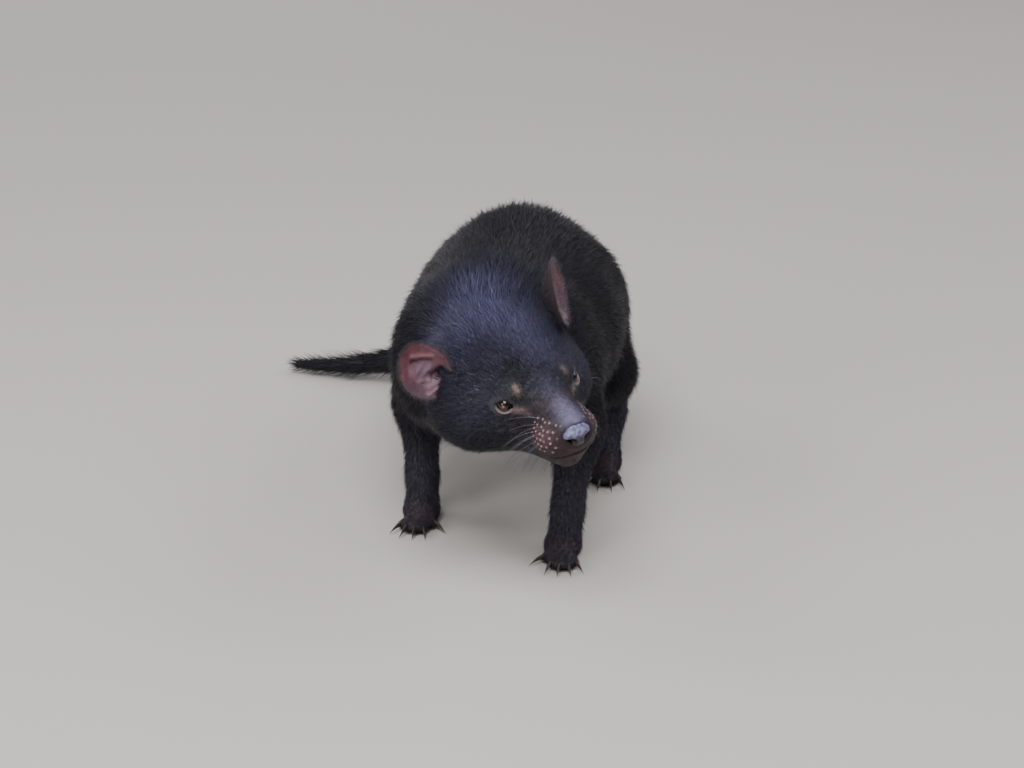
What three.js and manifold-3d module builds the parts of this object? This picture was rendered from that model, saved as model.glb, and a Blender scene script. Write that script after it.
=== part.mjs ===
// An adult Tasmanian devil on all fours, its head turned to its own left and its tail laid to its right.
// Millimetres, +Z up. The animal faces -Y, its left side is +X, and the solids reach to the coat's outside.
// Every skin is drawn the same way: rays leave a spine inside the flesh and stop where they come out of it.
import * as THREE from "three";
import { mergeVertices } from "three/addons/utils/BufferGeometryUtils.js";
import Module from "manifold-3d";

const wasm = await Module();
wasm.setup();

// Driving dimensions.
const GAP = 0.3; // between two pieces that meet
const BACK_HEIGHT = 252; // top of the back above the ground
const TRUNK_HALF_WIDTH = 101; // at the belly
const EYE_APART = 30.5; // each eye's centre from the middle of the head
const EYE_RADIUS = 8.6;
const LID_THICKNESS = 1.9;
const LID_OPENING = [8.8, 6.4]; // half its length and half its height
const MOUTH_LINE = 1.4; // width of the closed mouth's line
const HEAD_TURN = 40; // degrees towards the animal's left
const HEAD_NOD = 1; // degrees, nose down
const HEAD_ROLL = 9; // degrees, left side up
const EAR_LENGTH = 58;
const EAR_WIDTH = 43;
const EAR_TAPER = 0.16; // share of its width that is gone at the tip
const EAR_DEPTH = 12; // of the cup
const EAR_THICKNESS = 3.2; // of its wall
const EAR_SUNK = 11; // how much of its length lies in the head
const TAIL_THICKNESS = 42; // near the root
const CLAW_LENGTH = 17;
const CLAW_RADIUS = 2.3;
const TOE_RADIUS = 6;

// Colours and finishes.
const FINISHES = {
  coat: { color: 0x16161b, roughness: 0.75, metalness: 0 },
  ear: { color: 0x8a5450, roughness: 0.6, metalness: 0 },
  paw: { color: 0x3a2c2c, roughness: 0.7, metalness: 0 },
  nose: { color: 0x4b4e60, roughness: 0.25, metalness: 0 },
  eye: { color: 0x160b08, roughness: 0.05, metalness: 0 },
  claw: { color: 0x5e5348, roughness: 0.4, metalness: 0 },
};

const at = (x, y, z) => new THREE.Vector3(x, y, z);
const { clamp, degToRad, lerp } = THREE.MathUtils;
const UP = at(0, 0, 1);
const SIDES = { left: 1, right: -1 };
const both = (make) => Object.values(SIDES).map(make);

// The head's own frame: origin midway between the eyes, +X to its left, -Y to the nose, +Z to the crown.
const HEAD_PLACE = at(55.5, -111, 194);
const HEAD_ANGLES = new THREE.Euler(degToRad(HEAD_NOD), degToRad(-HEAD_ROLL), degToRad(HEAD_TURN), "ZXY");
const headTurn = new THREE.Quaternion().setFromEuler(HEAD_ANGLES);
const headWay = (x, y, z) => at(x, y, z).applyQuaternion(headTurn);
const inHead = (x, y, z) => headWay(x, y, z).add(HEAD_PLACE);

// Flesh is a list of masses. Each one tells how far a point lies outside it, and blends into the others.

// An egg-shaped mass, turned as its frame is.
function mass(centre, radii, blend, turn = new THREE.Quaternion()) {
  const back = turn.clone().invert();
  const p = at(0, 0, 0);
  const distance = (point) => {
    p.copy(point).sub(centre).applyQuaternion(back);
    const near = Math.hypot(p.x / radii[0], p.y / radii[1], p.z / radii[2]);
    const slope = Math.hypot(p.x / radii[0] ** 2, p.y / radii[1] ** 2, p.z / radii[2] ** 2);
    return slope > 1e-6 ? (near * (near - 1)) / slope : -Math.min(...radii);
  };
  return { distance, blend };
}

// A tapered length of limb from a to b.
function limb(a, b, radiusA, radiusB, blend) {
  const run = b.clone().sub(a);
  const p = at(0, 0, 0);
  const distance = (point) => {
    p.copy(point).sub(a);
    const t = clamp(p.dot(run) / run.lengthSq(), 0, 1);
    return p.addScaledVector(run, -t).length() - lerp(radiusA, radiusB, t);
  };
  return { distance, blend };
}

const headMass = (place, radii, blend) => mass(inHead(...place), radii, blend, headTurn);
const headLimb = (a, b, ...radiiAndBlend) => limb(inHead(...a), inHead(...b), ...radiiAndBlend);

// How far a point lies outside the flesh: a smooth least of all the masses.
function outside(flesh, point) {
  let least = 1e3;
  for (const { distance, blend } of flesh) {
    const d = distance(point);
    const share = Math.max(blend - Math.abs(least - d), 0) / blend;
    least = Math.min(least, d) - (share * share * blend) / 4;
  }
  return least;
}

// How far a ray from inside the flesh runs before it is grow outside it, at most reach.
function wayOut(flesh, from, way, reach, grow) {
  const leastStep = 0.6;
  const halvings = 12;
  const p = at(0, 0, 0);
  const depth = (run) => outside(flesh, p.copy(from).addScaledVector(way, run)) - grow;
  let inner = 0;
  let outer = 0;
  let d = depth(0);
  while (d < 0 && outer < reach) {
    inner = outer;
    outer = Math.min(outer + Math.max(-d * 0.8, leastStep), reach);
    d = depth(outer);
  }
  if (d < 0) return reach;
  for (let halving = 0; halving < halvings; halving++) {
    const middle = (inner + outer) / 2;
    if (depth(middle) > 0) outer = middle;
    else inner = middle;
  }
  return Math.max(outer, leastStep);
}

// A three.js geometry as a closed solid.
function solid(geometry) {
  const bare = geometry.clone();
  bare.deleteAttribute("normal");
  bare.deleteAttribute("uv");
  const merged = mergeVertices(bare, 1e-4);
  return new wasm.Manifold(
    new wasm.Mesh({
      numProp: 3,
      vertProperties: merged.attributes.position.array,
      triVerts: new Uint32Array(merged.index.array),
    }),
  );
}

// Moves every vertex of a geometry to the place that the function gives it.
function reshaped(geometry, place) {
  const position = geometry.attributes.position;
  const p = at(0, 0, 0);
  for (let i = 0; i < position.count; i++) {
    p.fromBufferAttribute(position, i);
    place(p);
    position.setXYZ(i, p.x, p.y, p.z);
  }
  return geometry;
}

// The skin of the flesh round a spine: a ball whose rows are laid along it, with a round cap at each end.
function skin(flesh, spinePoints, { around, rows, cap = 0.22, reach = 400, grow = 0, upright = UP }) {
  const spine = new THREE.CatmullRomCurve3(spinePoints);
  const ray = at(0, 0, 0);
  return solid(
    reshaped(new THREE.SphereGeometry(1, around, rows), (p) => {
      const t = 1 - Math.acos(clamp(p.y, -1, 1)) / Math.PI;
      const round = Math.atan2(p.z, p.x);
      const along = clamp((t - cap) / (1 - 2 * cap), 0, 1);
      const lean = (Math.max(1 - t / cap, 1 - (1 - t) / cap, 0) * Math.PI) / 2;
      const tangent = spine.getTangentAt(along);
      const side = tangent.clone().cross(upright).normalize();
      const rise = side.clone().cross(tangent);
      ray.set(0, 0, 0).addScaledVector(side, Math.cos(round)).addScaledVector(rise, Math.sin(round));
      ray.multiplyScalar(Math.cos(lean)).addScaledVector(tangent, Math.sin(lean) * Math.sign(t - 0.5));
      const from = spine.getPointAt(along);
      p.copy(from).addScaledVector(ray, wayOut(flesh, from, ray, reach, grow));
    }),
  );
}

// Lays a geometry with its own +Z along one way and its own +X as near as it can to another.
function laid(geometry, place, zWay, xWay) {
  const z = zWay.clone().normalize();
  const y = z.clone().cross(xWay).normalize();
  return geometry.applyMatrix4(new THREE.Matrix4().makeBasis(y.clone().cross(z), y, z).setPosition(place));
}

// Keeps what lies beyond a plane, on the side that it faces, or what lies behind it.
function beyond(made, [point, way]) {
  const n = way.clone().normalize();
  return made.trimByPlane([n.x, n.y, n.z], n.dot(point) + GAP / 2);
}
const behind = (made, [point, way]) => beyond(made, [point, way.clone().negate()]);
const joined = (...solids) => wasm.Manifold.union(solids);

// Keeps the largest closed body, and drops loose scraps.
function largest(made) {
  return made.decompose().reduce((best, piece) => (piece.volume() > best.volume() ? piece : best));
}

// Trunk and neck.
const NAPE = inHead(0, 74, -8);
const trunk = [
  mass(at(0, 38, 163), [78, 84, 72], 30),
  mass(at(2, 126, 152), [TRUNK_HALF_WIDTH, 114, 82], 40),
  mass(at(2, 208, 150), [84, 84, 78], 40),
  limb(at(0, 40, BACK_HEIGHT - 52), at(0, 190, BACK_HEIGHT - 60), 50, 50, 30),
  mass(at(2, -20, 148), [44, 30, 36], 24),
  limb(at(0, 8, 174), NAPE, 70, 56, 30),
  limb(at(2, -6, 156), inHead(0, 60, -30), 50, 42, 24),
];

// Legs. Each is planned from the ground up, where it stands in the pose. Its toes splay by some degrees.
const LEGS = {
  foreleg_left: {
    foot: at(67, -24, 0),
    wrist: at(69, -10, 37),
    elbow: at(73, 26, 104),
    top: at(60, 26, 168),
    splay: 8,
  },
  foreleg_right: {
    foot: at(-68, 31, 0),
    wrist: at(-69, 45, 37),
    elbow: at(-73, 62, 104),
    top: at(-60, 34, 168),
    splay: -8,
  },
  hindleg_left: {
    foot: at(84, 156, 0),
    wrist: at(85, 198, 44),
    elbow: at(84, 166, 98),
    top: at(56, 216, 152),
    splay: 6,
  },
  hindleg_right: {
    foot: at(-92, 238, 0),
    wrist: at(-91, 280, 44),
    elbow: at(-86, 236, 98),
    top: at(-56, 224, 152),
    splay: -6,
  },
};

// What differs between a foreleg and a hind leg. Toes fan out by these degrees, from the inner one outwards.
const FORE = {
  root: [34, 48, 58],
  rootPlace: [54, 2, 154],
  radii: [26, 24, 21, 15],
  palm: [18, 20, 12],
  toes: { fan: [-52, -22, -7, 8, 24], lengths: [20, 27, 29, 28, 25] },
  block: { inner: 45, slant: 0.27, width: 114, middle: 0 },
};
const HIND = {
  root: [40, 58, 60],
  rootPlace: [52, -4, 132],
  radii: [32, 27, 23, 14.5],
  palm: [16, 24, 11],
  toes: { fan: [-24, -8, 8, 24], lengths: [28, 31, 31, 28] },
  block: { inner: 44, slant: 0.27, width: 152, middle: 4 },
};
const kindOf = (name) => (name.startsWith("fore") ? FORE : HIND);

// The shoulder or haunch that swells the trunk over a leg.
function legRoot(name, sunk = 0) {
  const [x, y, z] = kindOf(name).rootPlace;
  const { foot, top } = LEGS[name];
  const radii = kindOf(name).root.map((radius) => radius - sunk);
  return mass(at(Math.sign(foot.x) * x, top.y + y, z), radii, 30);
}

function legFlesh(name) {
  const { foot, wrist, elbow, top } = LEGS[name];
  const { radii, palm } = kindOf(name);
  const heel = foot.clone().add(at(0, 10, palm[2]));
  return [
    limb(top, elbow, radii[0], radii[1], 26),
    limb(elbow, wrist, radii[2], radii[3], 20),
    limb(wrist, heel, radii[3], palm[2], 12),
    mass(foot.clone().add(at(0, 2, palm[2] - 2)), palm, 10),
  ];
}

const legNames = Object.keys(LEGS);
const body = [...trunk, ...legNames.map((name) => legRoot(name))];

// Head.
const eyeAt = (s) => [s * EYE_APART, 1, 0];
const lidRadius = EYE_RADIUS + LID_THICKNESS;
const headFlesh = [
  headMass([0, 54, -8], [56, 54, 43], 20),
  ...both((s) => headMass([s * 38, 46, -22], [34, 40, 31], 24)),
  ...both((s) => headMass([s * 22, 17, -7], [18, 26, 21], 14)),
  headLimb([0, 24, 4], [0, -40, -12], 27, 13, 18),
  headLimb([0, 12, -20], [0, -38, -24], 31, 19, 16),
  ...both((s) => headMass([s * 14, -37, -24], [14.5, 17, 15], 9)),
  headLimb([0, 34, -38], [0, -36, -43], 26, 13, 12),
  ...both((s) => headMass([s * 23, 4, 9], [12, 15, 8], 12)),
  ...both((s) => headLimb([s * 38, 62, 6], [s * 50, 60, 16], 20, 12, 14)),
  ...both((s) => headMass(eyeAt(s), [lidRadius, lidRadius, lidRadius], 7)),
  headMass([0, -50, -18], [12, 9, 10], 7),
];
const everything = [...body, ...headFlesh];

// Tail: out of the rump, down to the ground and off to the animal's right.
const tailPoints = [
  at(0, 272, 176),
  at(-12, 304, 124),
  at(-58, 328, 66),
  at(-124, 338, 32),
  at(-188, 344, 15.5),
  at(-246, 352, 10.4),
];
const tailLine = new THREE.CatmullRomCurve3(tailPoints);
const TAIL_LENGTHS = 12;
function tailRadius(t) {
  const taper = 1.02 - 0.5 * t ** 1.6;
  const swollenRoot = 0.35 * Math.max(0, 1 - 6 * t);
  return (TAIL_THICKNESS / 2) * (taper + swollenRoot);
}
const tailFlesh = Array.from({ length: TAIL_LENGTHS }, (_, i) => {
  const ends = [i / TAIL_LENGTHS, (i + 1) / TAIL_LENGTHS];
  return limb(...ends.map((t) => tailLine.getPointAt(t)), ...ends.map(tailRadius), i === 0 ? 30 : 2);
});

// Where the pieces part. Each plane is a point on it and the way that it faces.
const HEAD_PLANE = [inHead(0, 80, -10), headWay(0, -1, 0)];
const NECK_PLANE = [at(3, -18, 190), at(0.1, -0.9, 0.42)];
const GROUND = [at(0, 0, -GAP / 2), UP];

// The block that a leg is cut from: it rises along the leg, and its inner face slants out to the back.
function legBlock(name, grow) {
  const { foot, top } = LEGS[name];
  const { inner, slant, width, middle } = kindOf(name).block;
  const side = Math.sign(foot.x);
  const outward = at(side, 0, -slant);
  const along = at(side * slant, (top.y - foot.y) / top.z, 1);
  const depth = 160; // past the leg's outer side
  const height = 480; // past the ground and the back
  const heart = 90; // of the leg, above the ground
  const box = new THREE.BoxGeometry(width + 2 * grow, height, depth + grow);
  box.translate(0, 0, (depth - grow) / 2);
  const place = at(side * inner, lerp(foot.y, top.y, 0.55) + middle, heart);
  return solid(laid(box, place, outward, along.cross(outward)));
}

const parts = {};

// Torso and neck, from one skin.
const bodySpine = [
  at(0, 236, 160),
  at(0, 160, 156),
  at(0, 90, 156),
  at(0, 30, 162),
  at(4, -20, 170),
  inHead(0, 84, -10),
];
const bodyFlesh = [...everything, ...tailFlesh.slice(0, 2)];
const bodySkin = (grow) => skin(bodyFlesh, bodySpine, { around: 34, rows: 36, cap: 0.2, reach: 150, grow });
const trunkSkin = behind(bodySkin(0), NECK_PLANE);
parts.torso = legNames.reduce((left, name) => left.subtract(legBlock(name, GAP / 2)), trunkSkin);
parts.neck = behind(beyond(bodySkin(0), NECK_PLANE), HEAD_PLANE);

// The tail, down to the flat that it lies on.
const tailSkin = skin(tailFlesh, tailPoints, { around: 14, rows: 26, cap: 0.1, upright: at(0, 1, 0.3) });
parts.tail = beyond(tailSkin, GROUND).subtract(bodySkin(GAP));

// One toe: a round bar from the palm to its tip, bent down to the ground.
function toe(root, tip) {
  const length = tip.distanceTo(root);
  const bar = new THREE.CapsuleGeometry(TOE_RADIUS, length, 2, 6).rotateX(Math.PI / 2);
  return solid(laid(bar, root.clone().lerp(tip, 0.5), tip.clone().sub(root), UP));
}

// One claw: a cone that curves down, from its root in the toe to its tip.
function claw(root, way, grow) {
  const cone = new THREE.ConeGeometry(CLAW_RADIUS + grow, CLAW_LENGTH + 2 * grow, 6, 3);
  cone.rotateX(Math.PI / 2).translate(0, 0, CLAW_LENGTH / 2);
  reshaped(cone, (p) => {
    p.x -= 0.018 * Math.max(p.z, 0) ** 2;
  });
  return solid(laid(cone, root, way, UP));
}

// Legs, paws and claws.
for (const name of legNames) {
  const { foot, wrist, elbow, top, splay } = LEGS[name];
  const kind = kindOf(name);
  const side = Math.sign(foot.x);
  const sole = foot.clone().add(at(0, 4, kind.palm[2] - 2));
  const whole = skin([legRoot(name, 2), ...legFlesh(name)], [top, elbow, wrist, sole], {
    around: 14,
    rows: 26,
    cap: 0.16,
    upright: at(0, -1, 0.2),
  });
  const cut = joined(trunkSkin, whole).intersect(legBlock(name, -GAP / 2));
  const wristPlane = [wrist, at(0, 0, -1)];
  parts[name] = behind(cut, wristPlane);
  const flesh = [beyond(cut, wristPlane)];
  const sockets = [];
  kind.toes.fan.forEach((angle, i) => {
    const turn = degToRad(side * angle + splay);
    const way = at(Math.sin(turn), -Math.cos(turn), 0);
    const knuckle = foot.clone().addScaledVector(way, 9).add(at(0, 0, TOE_RADIUS + 1.5));
    const tip = foot.clone().addScaledVector(way, kind.toes.lengths[i]).add(at(0, 0, TOE_RADIUS - 0.6));
    const root = tip.clone().addScaledVector(way, 1).add(at(0, 0, 1));
    flesh.push(toe(knuckle, tip));
    sockets.push(claw(root, way, GAP));
    parts[`${name.replace("leg", "claw")}_${i + 1}`] = claw(root, way, 0);
  });
  const paw = joined(...flesh).subtract(joined(...sockets));
  parts[name.replace("leg", "paw")] = beyond(paw, GROUND);
}

// Eyes, each a ball in a socket that opens between the lids.
const gaze = (s) => headWay(s * 0.66, -0.7, 0.2).normalize();
const lidLine = (s) => headWay(s * 0.7, 0.68, 0.1).normalize();
function ball(place, radius) {
  return solid(new THREE.SphereGeometry(radius, 14, 10).translate(place.x, place.y, place.z));
}
function lidCutter(s) {
  const [long, high] = LID_OPENING;
  const deep = EYE_RADIUS + LID_THICKNESS + 1.5;
  const almond = reshaped(new THREE.SphereGeometry(1, 16, 10).rotateX(Math.PI / 2), (p) => {
    p.set(p.x * long, p.y * high * (1 - 0.35 * p.x * p.x), p.z * deep);
  });
  const place = inHead(...eyeAt(s)).addScaledVector(gaze(s), deep / 2);
  return solid(laid(almond, place, gaze(s), lidLine(s)));
}

// The mouth's line: a thin blade that follows the lips from corner to corner.
function mouthBlade() {
  const lips = [
    [40, 6, -33],
    [25, -14, -36],
    [22, -32, -37],
    [13, -48, -37],
    [0, -54, -36],
  ];
  const mirrored = lips.slice(0, -1).map(([x, y, z]) => [-x, y, z]);
  const line = new THREE.CatmullRomCurve3([...lips, ...mirrored.reverse()].map((p) => at(...p)));
  const blade = reshaped(new THREE.BoxGeometry(1, 1, 1, 18, 1, 1), (p) => {
    const along = line.getTangentAt(p.x + 0.5);
    const outwards = UP.clone().cross(along).normalize();
    const place = line.getPointAt(p.x + 0.5).addScaledVector(outwards, p.y < 0 ? -5 : 10);
    p.copy(inHead(place.x, place.y, place.z + p.z * MOUTH_LINE));
  });
  return solid(blade);
}

// Nose: a pad that narrows to its sides, with two nostrils.
function nosePad(grow) {
  const [wide, deep, high] = [11.5, 6.5, 8.5].map((radius) => radius + grow);
  const pad = reshaped(new THREE.SphereGeometry(1, 14, 8), (p) => {
    p.copy(inHead(p.x * wide, p.y * deep - 56, p.z * high * (1 - 0.25 * p.x * p.x) - 17));
  });
  return solid(pad);
}
function nostril(s) {
  const hole = new THREE.SphereGeometry(1, 8, 6).scale(3.4, 4.5, 2);
  return solid(laid(hole, inHead(s * 7.2, -61, -17), headWay(-s * 0.5, 0, 0.87), headWay(s, -0.6, 0)));
}

// Ears: a ball pressed into a cup, longer than it is wide, with its foot in the head.
const EARS = {
  left: { root: [63.5, 48, 31.5], up: [-0.01, 0.2, 0.98], open: [0.76, -0.6, 0.2] },
  right: { root: [-68, 51, 10.5], up: [-0.3, 0.05, 0.9], open: [-0.42, -0.85, 0.3] },
};
function ear(name) {
  const { root, up, open } = EARS[name];
  const rise = headWay(...up).normalize();
  const opening = headWay(...open);
  opening.addScaledVector(rise, -opening.dot(rise)).normalize();
  const cup = reshaped(new THREE.SphereGeometry(1, 20, 10).rotateX(Math.PI / 2), (p) => {
    const hollow = 1 - p.x * p.x - p.y * p.y;
    const wall = EAR_THICKNESS * (1 + 0.8 * (1 - p.x) * hollow);
    const width = EAR_WIDTH * (1 - EAR_TAPER * Math.max(p.x, 0) ** 2);
    p.set((p.x * EAR_LENGTH) / 2, (p.y * width) / 2, (p.z * wall) / 2 - EAR_DEPTH * hollow);
  });
  const middle = inHead(...root).addScaledVector(rise, EAR_LENGTH / 2 - EAR_SUNK);
  return solid(laid(cup, middle, opening, rise));
}

// The head, and what sits in it.
const headSpine = [inHead(0, 66, -12), inHead(0, 20, -14), inHead(0, -30, -24)];
const headSkin = (grow) => skin(everything, headSpine, { around: 44, rows: 36, cap: 0.24, reach: 80, grow });
let head = beyond(beyond(headSkin(0), HEAD_PLANE), NECK_PLANE);
const headGrown = headSkin(GAP);
for (const [name, s] of Object.entries(SIDES)) {
  const eye = inHead(...eyeAt(s));
  parts[`eye_${name}`] = ball(eye, EYE_RADIUS);
  parts[`ear_${name}`] = ear(name).subtract(headGrown);
  head = head.subtract(joined(ball(eye, EYE_RADIUS + GAP), lidCutter(s)));
}
parts.nose_pad = nosePad(0).subtract(joined(...both(nostril)));
parts.head = head.subtract(joined(nosePad(GAP), mouthBlade()));

// What each piece is finished with, by the first letters of its name.
function finishOf(name) {
  if (name.includes("claw")) return FINISHES.claw;
  if (name.includes("paw")) return FINISHES.paw;
  return FINISHES[name.split("_")[0]] ?? FINISHES.coat;
}

// A solid as a named mesh.
function mesh(name, made) {
  const { vertProperties, triVerts } = largest(made).getMesh();
  const geometry = new THREE.BufferGeometry();
  geometry.setAttribute("position", new THREE.BufferAttribute(new Float32Array(vertProperties), 3));
  geometry.setIndex(new THREE.BufferAttribute(new Uint32Array(triVerts), 1));
  geometry.computeVertexNormals();
  const skinned = new THREE.Mesh(geometry, new THREE.MeshStandardMaterial(finishOf(name)));
  skinned.name = name;
  return skinned;
}

const animal = new THREE.Group();
for (const [name, made] of Object.entries(parts)) animal.add(mesh(name, made));

// The frame's origin is the middle of the footprint, on the ground.
const extent = new THREE.Box3().setFromObject(animal);
const middle = extent.getCenter(at(0, 0, 0));
animal.position.set(-middle.x, -middle.y, -extent.min.z);

export default new THREE.Group().add(animal);
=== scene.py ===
"""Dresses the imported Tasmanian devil: skin, lids, eyes, nose, claws, whiskers and a coat of short dark fur.

Blender's own units are metres. Sizes here are written in millimetres, and MM turns them to metres.
"""

import math

import bmesh
import bpy
import numpy as np
from mathutils import Matrix, Vector
from mathutils.bvhtree import BVHTree


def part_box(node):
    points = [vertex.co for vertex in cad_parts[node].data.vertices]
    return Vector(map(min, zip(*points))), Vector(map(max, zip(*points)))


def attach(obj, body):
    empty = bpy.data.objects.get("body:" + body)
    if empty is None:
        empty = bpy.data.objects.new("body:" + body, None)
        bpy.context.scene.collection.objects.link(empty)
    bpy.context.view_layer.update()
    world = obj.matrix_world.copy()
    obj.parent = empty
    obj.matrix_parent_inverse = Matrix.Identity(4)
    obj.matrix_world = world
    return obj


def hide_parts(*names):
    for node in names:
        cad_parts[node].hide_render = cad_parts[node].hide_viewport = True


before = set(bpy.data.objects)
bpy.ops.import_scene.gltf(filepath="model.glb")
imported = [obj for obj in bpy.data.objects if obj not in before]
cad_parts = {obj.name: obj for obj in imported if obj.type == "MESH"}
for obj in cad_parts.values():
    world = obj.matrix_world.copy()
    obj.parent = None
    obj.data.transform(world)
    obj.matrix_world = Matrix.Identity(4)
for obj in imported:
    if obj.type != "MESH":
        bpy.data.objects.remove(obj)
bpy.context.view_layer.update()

MM = 0.001
UP = Vector((0, 0, 1))
SIDES = {"left": 1, "right": -1}
draw = np.random.default_rng(7)


# Places taken from the frame.
def centre(node):
    low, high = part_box(node)
    return (low + high) / 2


eye_middle = (centre("eye_left") + centre("eye_right")) / 2
LEFT = (centre("eye_left") - centre("eye_right")).normalized()
nose_way = (centre("nose_pad") - eye_middle).normalized()
nose_way = (nose_way - LEFT * nose_way.dot(LEFT)).normalized()
NOSE_DROP = math.atan2(17, 56)  # the nose's angle below the head's own level
BACK = -(Matrix.Rotation(-NOSE_DROP, 3, LEFT) @ nose_way)
HEAD = Matrix((LEFT, BACK, LEFT.cross(BACK))).transposed()


def in_head(x, y, z):
    """A place given in mm in the head's frame: +x to its left, -y to the nose, +z to the crown."""
    return eye_middle + HEAD @ Vector((x, y, z)) * MM


def head_way(x, y, z):
    return (HEAD @ Vector((x, y, z))).normalized()


# The body's places are given in mm from the point on the floor midway between the forefeet.
EYES_FROM_STAND = (54.86, -110.2, 194.0)
STAND = eye_middle - Vector(EYES_FROM_STAND) * MM


def head_mm(points):
    """World points as mm in the head's frame."""
    return (points - np.array(eye_middle)) @ np.array(HEAD) / MM


def body_mm(points):
    return (points - np.array(STAND)) / MM


# Camera, light and floor.
CAMERA_AZIMUTH = 8
CAMERA_ELEVATION = 23
CAMERA_LENS = 108.98
CAMERA_AIM = (18.6, 138.4)  # mm across and above the stand, as the camera sees it
CAMERA_DISTANCE = 2750


def set_camera():
    """The photo's own angle and framing: a long lens, from in front, above and a little to the right."""
    azimuth = math.radians(CAMERA_AZIMUTH)
    elevation = math.radians(CAMERA_ELEVATION)
    across = Vector((math.cos(azimuth), math.sin(azimuth), 0))
    ahead = Vector((-math.sin(azimuth) * math.cos(elevation), math.cos(azimuth) * math.cos(elevation),
                    -math.sin(elevation)))
    above = across.cross(ahead)
    camera = bpy.data.cameras.new("camera")
    camera.sensor_width = 36
    camera.lens = CAMERA_LENS
    camera.clip_start = 0.05
    holder = bpy.data.objects.new("camera", camera)
    bpy.context.scene.collection.objects.link(holder)
    aim = across * CAMERA_AIM[0] + above * CAMERA_AIM[1]
    place = STAND + (aim - ahead * CAMERA_DISTANCE) * MM
    holder.matrix_world = Matrix.Translation(place) @ Matrix((across, above, -ahead)).transposed().to_4x4()
    bpy.context.scene.camera = holder


def add_light(name, place, aim, size, power, colour):
    lamp = bpy.data.lights.new(name, "AREA")
    lamp.shape = "DISK"
    lamp.size = size
    lamp.energy = power
    lamp.color = colour
    holder = bpy.data.objects.new(name, lamp)
    bpy.context.scene.collection.objects.link(holder)
    holder.location = place
    holder.rotation_euler = (Vector(aim) - Vector(place)).to_track_quat("-Z", "Y").to_euler()


def linear(code):
    """An sRGB hex colour as linear RGBA."""
    channels = [int(code[i:i + 2], 16) / 255 for i in (1, 3, 5)]
    return tuple(c / 12.92 if c <= 0.04045 else ((c + 0.055) / 1.055) ** 2.4 for c in channels) + (1.0,)


def rgb(code):
    """The same colour as an array of three, to mix with others."""
    return np.array(linear(code)[:3])


def set_inputs(node, **values):
    for name, value in values.items():
        node.inputs[name.replace("_", " ")].default_value = value


def add_node(tree, kind, links=None, **settings):
    """Adds a node. A setting named for a property is set on the node, and any other on its input socket.
    Links give, for an input socket, the output socket that feeds it."""
    node = tree.nodes.new(kind)
    for name, value in settings.items():
        if hasattr(node, name):
            setattr(node, name, value)
        else:
            set_inputs(node, **{name: value})
    for name, source in (links or {}).items():
        tree.links.new(source, node.inputs[name])
    return node


def new_material(name):
    material = bpy.data.materials.new(name)
    material.use_nodes = True
    tree = material.node_tree
    shader = tree.nodes["Principled BSDF"]
    return material, tree, shader


COOL = (0.97, 0.97, 1.0)
# Each light's name, place, aim, size in metres, power in watts and colour.
LIGHTS = [
    ("overhead softbox", (0.1, -1.25, 2.0), (0.05, -0.15, 0.15), 1.4, 48, COOL),
    ("front fill", (-1.6, -2.4, 1.3), (0.05, -0.1, 0.15), 1.4, 22, (1.0, 0.98, 0.96)),
    ("rim", (1.3, 1.6, 1.6), (0.0, 0.0, 0.15), 0.8, 5, (0.95, 0.95, 1.0)),
    ("back fill", (-0.9, 2.6, 0.8), (0.0, 0.2, 0.15), 1.4, 9, COOL),
    ("side fill", (2.3, 0.5, 2.1), (0.0, 0.1, 0.1), 1.6, 20, COOL),
    ("side fill", (-2.3, 0.5, 2.1), (0.0, 0.1, 0.1), 1.6, 20, COOL),
]


def set_stage():
    bpy.ops.mesh.primitive_plane_add(size=24, location=(0, 0, 0))
    floor = bpy.context.object
    floor.name = "floor"
    material, _, shader = new_material("matt pale studio floor")
    set_inputs(shader, Base_Color=linear("#cfcac2"), Roughness=0.9)
    floor.data.materials.append(material)
    for light in LIGHTS:
        add_light(*light)
    world = bpy.data.worlds.new("studio")
    world.use_nodes = True
    set_inputs(world.node_tree.nodes["Background"], Color=linear("#cdccd4"), Strength=0.4)
    bpy.context.scene.world = world


# Making and finishing a piece.
def as_object(shape, name):
    mesh = bpy.data.meshes.new(name)
    shape.to_mesh(mesh)
    shape.free()
    piece = bpy.data.objects.new(name, mesh)
    bpy.context.scene.collection.objects.link(piece)
    return piece


def applied(piece, kind, **settings):
    """Gives the piece a modifier's result as its own mesh."""
    modifier = piece.modifiers.new(kind, kind)
    for name, value in settings.items():
        setattr(modifier, name, value)
    graph = bpy.context.evaluated_depsgraph_get()
    made = bpy.data.meshes.new_from_object(piece.evaluated_get(graph))
    piece.modifiers.clear()
    old = piece.data
    piece.data = made
    bpy.data.meshes.remove(old)


def values_of(items, name, width, kind=float):
    """One property of every item, such as every vertex's place, as the rows of an array."""
    values = np.empty(len(items) * width, kind)
    items.foreach_get(name, values)
    return values.reshape(-1, width)


def points_of(mesh):
    return values_of(mesh.vertices, "co", 3)


def normals_of(mesh):
    return values_of(mesh.vertices, "normal", 3)


def set_points(mesh, points):
    mesh.vertices.foreach_set("co", points.ravel())
    mesh.update()


def store_values(mesh, name, values):
    mesh.attributes.new(name, "FLOAT", "POINT").data.foreach_set("value", values)


def store_colour(mesh, name, colour):
    layer = mesh.color_attributes.new(name, "FLOAT_COLOR", "POINT")
    layer.data.foreach_set("color", np.column_stack([colour, np.ones(len(colour))]).ravel())


def give_surface(mesh, material):
    """Shades the mesh smooth and gives it its material."""
    mesh.polygons.foreach_set("use_smooth", np.ones(len(mesh.polygons), bool))
    mesh.materials.append(material)


def unit(vectors):
    return vectors / np.maximum(np.linalg.norm(vectors, axis=-1, keepdims=True), 1e-9)


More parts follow.
